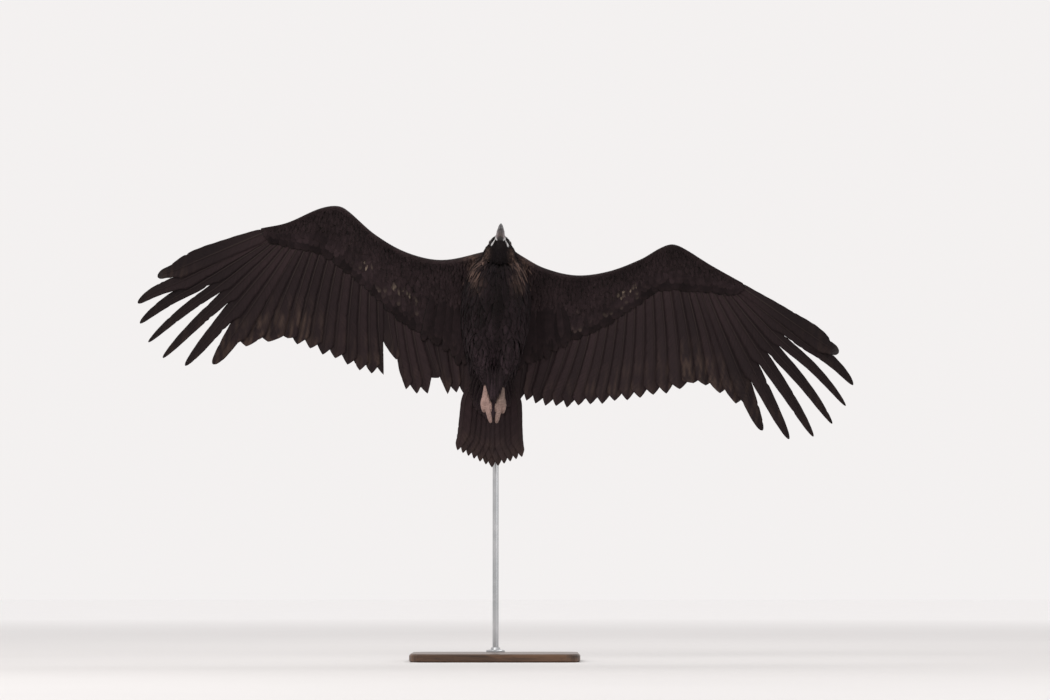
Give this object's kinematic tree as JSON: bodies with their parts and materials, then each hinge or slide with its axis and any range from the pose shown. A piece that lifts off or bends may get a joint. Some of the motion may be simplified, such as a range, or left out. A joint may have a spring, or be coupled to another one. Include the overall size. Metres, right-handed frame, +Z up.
{
  "type": "cinereous vulture display model",
  "caption": "Life-size soaring vulture with spread wings and fingered tips, held belly outwards by a bent rod on a flat base.",
  "frame": {"origin": "centre of the stand base's underside, on the surface that it stands on", "axes": "+Z up; -Y is the side that the bird's belly faces; +X runs along the span, towards the bird's left wing tip"},
  "size_m": [2.5979, 0.46, 1.6316],
  "materials": {
    "body_plumage": "matt blackish-brown body feathers",
    "neck_ruff": "soft, streaky brown lance-shaped feathers",
    "head_down": "short dense down, black on the face and throat",
    "wing_coverts": "matt black-brown small feathers in rows",
    "flight_feathers": "satin dark brown-grey vanes with worn, paler tips",
    "bill_horn": "smooth dark horn, paler at its base",
    "cere_skin": "bare pale bluish skin",
    "foot_skin": "scaly, pinkish-cream skin",
    "claw_horn": "polished black horn",
    "eye": "wet, very dark brown",
    "stand_wood": "dark stained and satin lacquered",
    "stand_steel": "satin ground steel"
  },
  "bodies": {
    "root": {"trunk": "body_plumage", "neck": "neck_ruff", "head": "head_down", "bill_upper": "bill_horn", "bill_lower": "bill_horn", "eye_left": "eye", "eye_right": "eye", "tail": "flight_feathers", "thigh_left": "body_plumage", "tarsus_left": "foot_skin", "foot_left": "foot_skin", "thigh_right": "body_plumage", "tarsus_right": "foot_skin", "foot_right": "foot_skin", "upper_arm_left": "wing_coverts", "forearm_left": "wing_coverts", "hand_left": "wing_coverts", "primaries_left": "flight_feathers", "secondaries_left": "flight_feathers", "tertials_left": "flight_feathers", "finger_1_left": "flight_feathers", "finger_2_left": "flight_feathers", "finger_3_left": "flight_feathers", "finger_4_left": "flight_feathers", "finger_5_left": "flight_feathers", "finger_6_left": "flight_feathers", "finger_7_left": "flight_feathers", "upper_arm_right": "wing_coverts", "forearm_right": "wing_coverts", "hand_right": "wing_coverts", "primaries_right": "flight_feathers", "secondaries_right": "flight_feathers", "tertials_right": "flight_feathers", "finger_1_right": "flight_feathers", "finger_2_right": "flight_feathers", "finger_3_right": "flight_feathers", "finger_4_right": "flight_feathers", "finger_5_right": "flight_feathers", "finger_6_right": "flight_feathers", "finger_7_right": "flight_feathers", "stand_base": "stand_wood", "stand_rod": "stand_steel", "stand_collar": "stand_steel"}
  },
  "joints": []
}
